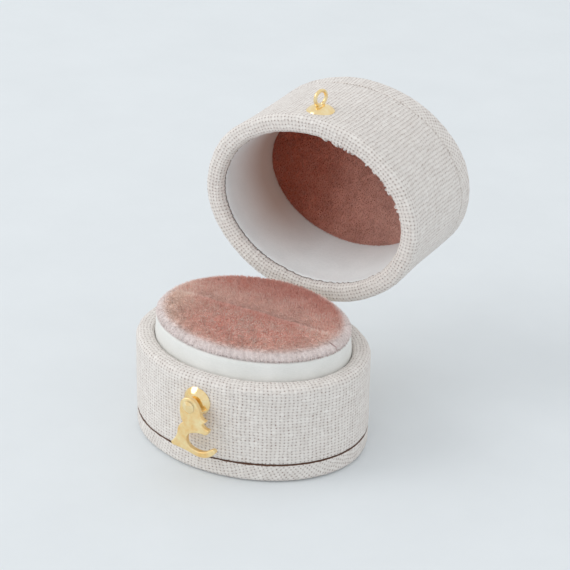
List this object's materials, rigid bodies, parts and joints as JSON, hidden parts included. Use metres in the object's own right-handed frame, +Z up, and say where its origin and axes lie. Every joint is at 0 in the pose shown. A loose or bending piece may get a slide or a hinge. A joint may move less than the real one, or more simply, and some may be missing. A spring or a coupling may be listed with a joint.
{
  "type": "ring box",
  "caption": "Oval linen-covered ring box with a hinged lid, a slotted velvet cushion in a smooth collar, and a swing hook that closes on a wire eye.",
  "frame": {"origin": "centre of the underside of the base", "axes": "+Z up, -Y towards the front with the clasp, +Y towards the hinge, +X to the right seen from the front"},
  "size_m": [0.036, 0.0516, 0.048],
  "materials": {
    "linen": "plain-weave natural linen",
    "board": "grey board",
    "lining": "smooth off-white lining",
    "velvet": "dusty pink velvet",
    "foam": "foam",
    "brass": "polished"
  },
  "bodies": {
    "base": {"base_plate_board": "board", "base_plate_linen": "linen", "base_wall_board": "board", "base_wall_linen": "linen", "collar_board": "board", "collar_lining": "lining", "cushion_riser": "foam", "cushion_card": "board", "cushion_foam_front": "foam", "cushion_velvet_front": "velvet", "cushion_foam_rear": "foam", "cushion_velvet_rear": "velvet", "hinge_leaf_base": "brass", "hinge_pin": "brass", "hinge_nails_base": "brass", "hook_rosette": "brass", "hook_rivet": "brass"},
    "lid": {"lid_plate_board": "board", "lid_plate_linen": "linen", "lid_wall_board": "board", "lid_wall_linen": "linen", "lid_lining": "lining", "lid_pad_card": "board", "lid_pad_velvet": "velvet", "hinge_leaf_lid": "brass", "hinge_nails_lid": "brass", "eye_rosette": "brass", "eye_loop": "brass"},
    "hook": {"clasp_hook": "brass"}
  },
  "joints": [
    {"name": "lid_hinge", "type": "hinge", "parent": "base", "child": "lid", "pos_m": [0, 0.01503, 0.01473], "axis": [1, 0, 0], "range_deg": [0, 88.7]},
    {"name": "hook_pivot", "type": "hinge", "parent": "base", "child": "hook", "pos_m": [-0.00025, -0.01665, 0.01165], "axis": [0, -1, 0], "range_deg": [-40, 165.8]}
  ]
}
